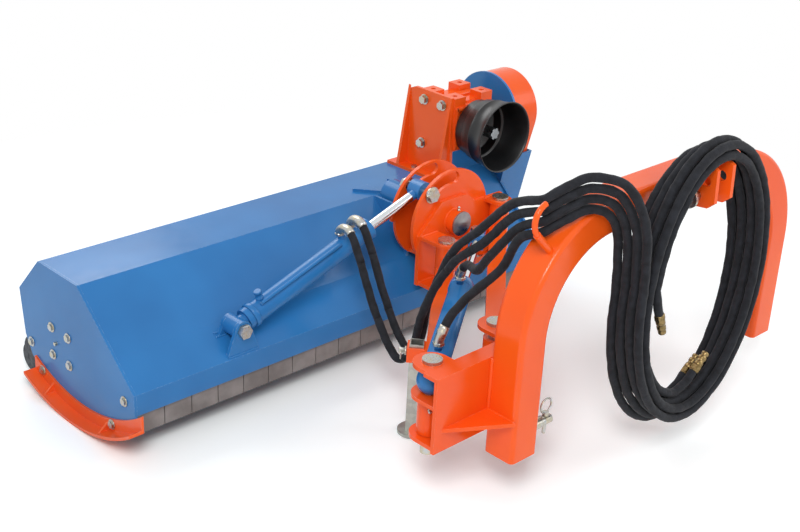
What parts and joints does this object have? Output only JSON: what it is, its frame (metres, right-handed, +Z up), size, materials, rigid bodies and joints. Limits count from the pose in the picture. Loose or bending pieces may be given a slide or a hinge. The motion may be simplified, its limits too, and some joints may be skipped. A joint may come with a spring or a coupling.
{
  "type": "side-shift flail mower",
  "caption": "Tractor flail mower with a side-shift parallelogram, tilting deck, rear roller, front rubber flaps and coiled hydraulic hoses on a three-point bow.",
  "frame": {"origin": "ground level under the middle of the parked machine's bounding box", "axes": "+X along the deck towards the gearbox, +Y rearward away from the tractor, +Z up"},
  "size_m": [1.692, 1.441, 0.8399],
  "materials": {
    "orange_paint": "satin",
    "blue_paint": "satin",
    "zinc": "satin",
    "steel": "satin",
    "dark_steel": "matte",
    "chrome_rod": "polished",
    "black_plastic": "matte",
    "belt_rubber": "matte",
    "hose_cover": "matte",
    "brass": "satin",
    "flap_rubber": "matte"
  },
  "bodies": {
    "headstock": {"bow_frame": "orange_paint", "side_bracket": "orange_paint", "top_link_ears": "orange_paint", "top_link_pin": "zinc", "lower_link_pins": "zinc", "hose_guide": "orange_paint", "arm_pivot_pins": "zinc", "tilt_hoses": "hose_cover", "shift_hoses": "hose_cover", "hose_hank": "hose_cover", "hose_couplers": "brass"},
    "lynch_left": {"lynch_pin_left": "zinc"},
    "lynch_right": {"lynch_pin_right": "zinc"},
    "outer_arm_body": {"outer_arm": "orange_paint", "stand_sleeve": "orange_paint", "stand_lock_pin": "zinc"},
    "stand": {"stand_leg": "steel"},
    "inner_arm_body": {"inner_arm": "orange_paint"},
    "shift_cylinder": {"shift_barrel": "blue_paint"},
    "shift_piston": {"shift_rod": "chrome_rod"},
    "mount": {"mount_frame": "orange_paint", "tilt_plates": "orange_paint", "mount_pins": "zinc", "shift_rod_bolt": "zinc"},
    "tilt_axle": {"tilt_shaft": "steel"},
    "deck": {"deck_shell": "blue_paint", "outer_end_plate": "blue_paint", "inner_end_plate": "blue_paint", "skids": "orange_paint", "roller_brackets": "dark_steel", "rotor_bearings": "steel", "deck_bolts": "zinc", "hinge_saddle": "blue_paint", "hinge_tube": "blue_paint", "cylinder_lug": "blue_paint", "lug_bolt": "zinc", "flap_rod": "zinc", "gearbox_bracket": "orange_paint", "gearbox_housing": "orange_paint", "gearbox_bolts": "zinc", "pto_guard": "black_plastic", "belt_cover": "orange_paint", "belt_case": "blue_paint", "drive_belts": "belt_rubber"},
    "flaps": {"flap_curtain": "flap_rubber"},
    "rotor": {"rotor_tube": "dark_steel", "rotor_pulley": "steel", "flail_bolts": "zinc"},
    "flails_1": {"flail_row_1": "steel"},
    "flails_2": {"flail_row_2": "steel"},
    "flails_3": {"flail_row_3": "steel"},
    "flails_4": {"flail_row_4": "steel"},
    "roller": {"rear_roller": "dark_steel"},
    "input": {"pto_shaft": "steel"},
    "output": {"output_shaft": "steel", "upper_pulley": "steel"},
    "tilt_cylinder": {"tilt_barrel": "blue_paint"},
    "tilt_piston": {"tilt_rod": "chrome_rod", "tilt_rod_pin": "zinc"}
  },
  "joints": [
    {"name": "arm_swing", "type": "hinge", "parent": "headstock", "child": "outer_arm_body", "pos_m": [-0.37898, -0.44249, 0.25], "axis": [0, 0, 1], "range_deg": [0, 45], "deforming": ["tilt_hoses", "shift_hoses"]},
    {"name": "inner_arm_swing", "type": "hinge", "parent": "headstock", "child": "inner_arm_body", "pos_m": [-0.12298, -0.40449, 0.3], "axis": [0, 0, 1], "range_deg": [0, 45]},
    {"name": "mount_swing", "type": "hinge", "parent": "outer_arm_body", "child": "mount", "pos_m": [0.1702, 0.052, 0.25], "axis": [0, 0, 1], "range_deg": [-45, 0]},
    {"name": "shift_cylinder_swing", "type": "hinge", "parent": "headstock", "child": "shift_cylinder", "pos_m": [-0.37898, -0.44249, 0.325], "axis": [0, 0, 1], "range_deg": [0, 40.86]},
    {"name": "shift_rod_swing", "type": "hinge", "parent": "mount", "child": "shift_piston", "pos_m": [0.296, 0.0525, 0.325], "axis": [0, 0, 1], "range_deg": [0, 40.86]},
    {"name": "deck_tilt", "type": "hinge", "parent": "mount", "child": "tilt_axle", "pos_m": [0.266, 0.1425, 0.37], "axis": [0, 1, 0], "range_deg": [-30, 0], "deforming": ["tilt_hoses"]},
    {"name": "deck_float", "type": "hinge", "parent": "tilt_axle", "child": "deck", "pos_m": [0.266, 0.2345, 0.37], "axis": [0, 1, 0], "range_deg": [0, 45], "deforming": ["tilt_hoses"]},
    {"name": "tilt_cylinder_swing", "type": "hinge", "parent": "deck", "child": "tilt_cylinder", "pos_m": [-0.466, 0.1805, 0.24], "axis": [0, 1, 0], "range_deg": [-0.9, 0]},
    {"name": "tilt_rod_slide", "type": "slide", "parent": "tilt_cylinder", "child": "tilt_piston", "axis": [0.9451, 0, 0.3268], "range_m": [0, 0.0647]},
    {"name": "rotor_spin", "type": "hinge", "parent": "deck", "child": "rotor", "pos_m": [-0.054, 0.4805, 0.17], "axis": [1, 0, 0], "continuous": true},
    {"name": "output_spin", "type": "hinge", "parent": "deck", "child": "output", "pos_m": [0.736, 0.4045, 0.541], "axis": [1, 0, 0], "continuous": true},
    {"name": "pto_spin", "type": "hinge", "parent": "deck", "child": "input", "pos_m": [0.546, 0.2925, 0.541], "axis": [0, 1, 0], "continuous": true},
    {"name": "roller_spin", "type": "hinge", "parent": "deck", "child": "roller", "pos_m": [-0.054, 0.6625, 0.058], "axis": [1, 0, 0], "continuous": true},
    {"name": "flap_swing", "type": "hinge", "parent": "deck", "child": "flaps", "pos_m": [-0.054, 0.1605, 0.128], "axis": [1, 0, 0], "range_deg": [0, 60]},
    {"name": "flail_swing_1", "type": "hinge", "parent": "rotor", "child": "flails_1", "pos_m": [-0.054, 0.4805, 0.234], "axis": [1, 0, 0], "range_deg": [-80, 80]},
    {"name": "flail_swing_2", "type": "hinge", "parent": "rotor", "child": "flails_2", "pos_m": [-0.054, 0.4165, 0.17], "axis": [1, 0, 0], "range_deg": [-80, 80]},
    {"name": "flail_swing_3", "type": "hinge", "parent": "rotor", "child": "flails_3", "pos_m": [-0.054, 0.4805, 0.106], "axis": [1, 0, 0], "range_deg": [-80, 80]},
    {"name": "flail_swing_4", "type": "hinge", "parent": "rotor", "child": "flails_4", "pos_m": [-0.054, 0.5445, 0.17], "axis": [1, 0, 0], "range_deg": [-80, 80]},
    {"name": "stand_slide", "type": "slide", "parent": "outer_arm_body", "child": "stand", "axis": [0, 0, 1], "range_m": [0, 0.18]},
    {"name": "lynch_left_pull", "type": "slide", "parent": "headstock", "child": "lynch_left", "axis": [0, 0, 1], "range_m": [0, 0.06]},
    {"name": "lynch_right_pull", "type": "slide", "parent": "headstock", "child": "lynch_right", "axis": [0, 0, 1], "range_m": [0, 0.06]}
  ],
  "couplings": [
    {"joint": "inner_arm_swing", "follows": "arm_swing", "ratio": 1},
    {"joint": "mount_swing", "follows": "arm_swing", "ratio": -1},
    {"joint": "shift_cylinder_swing", "follows": "arm_swing", "ratio": 0.908},
    {"joint": "shift_rod_swing", "follows": "arm_swing", "ratio": 0.908},
    {"joint": "tilt_cylinder_swing", "follows": "deck_tilt", "ratio": 0.03},
    {"joint": "tilt_rod_slide", "follows": "deck_tilt", "m_per_rad": -0.1236},
    {"joint": "output_spin", "follows": "rotor_spin", "ratio": 0.80556},
    {"joint": "pto_spin", "follows": "rotor_spin", "ratio": 0.26852}
  ]
}
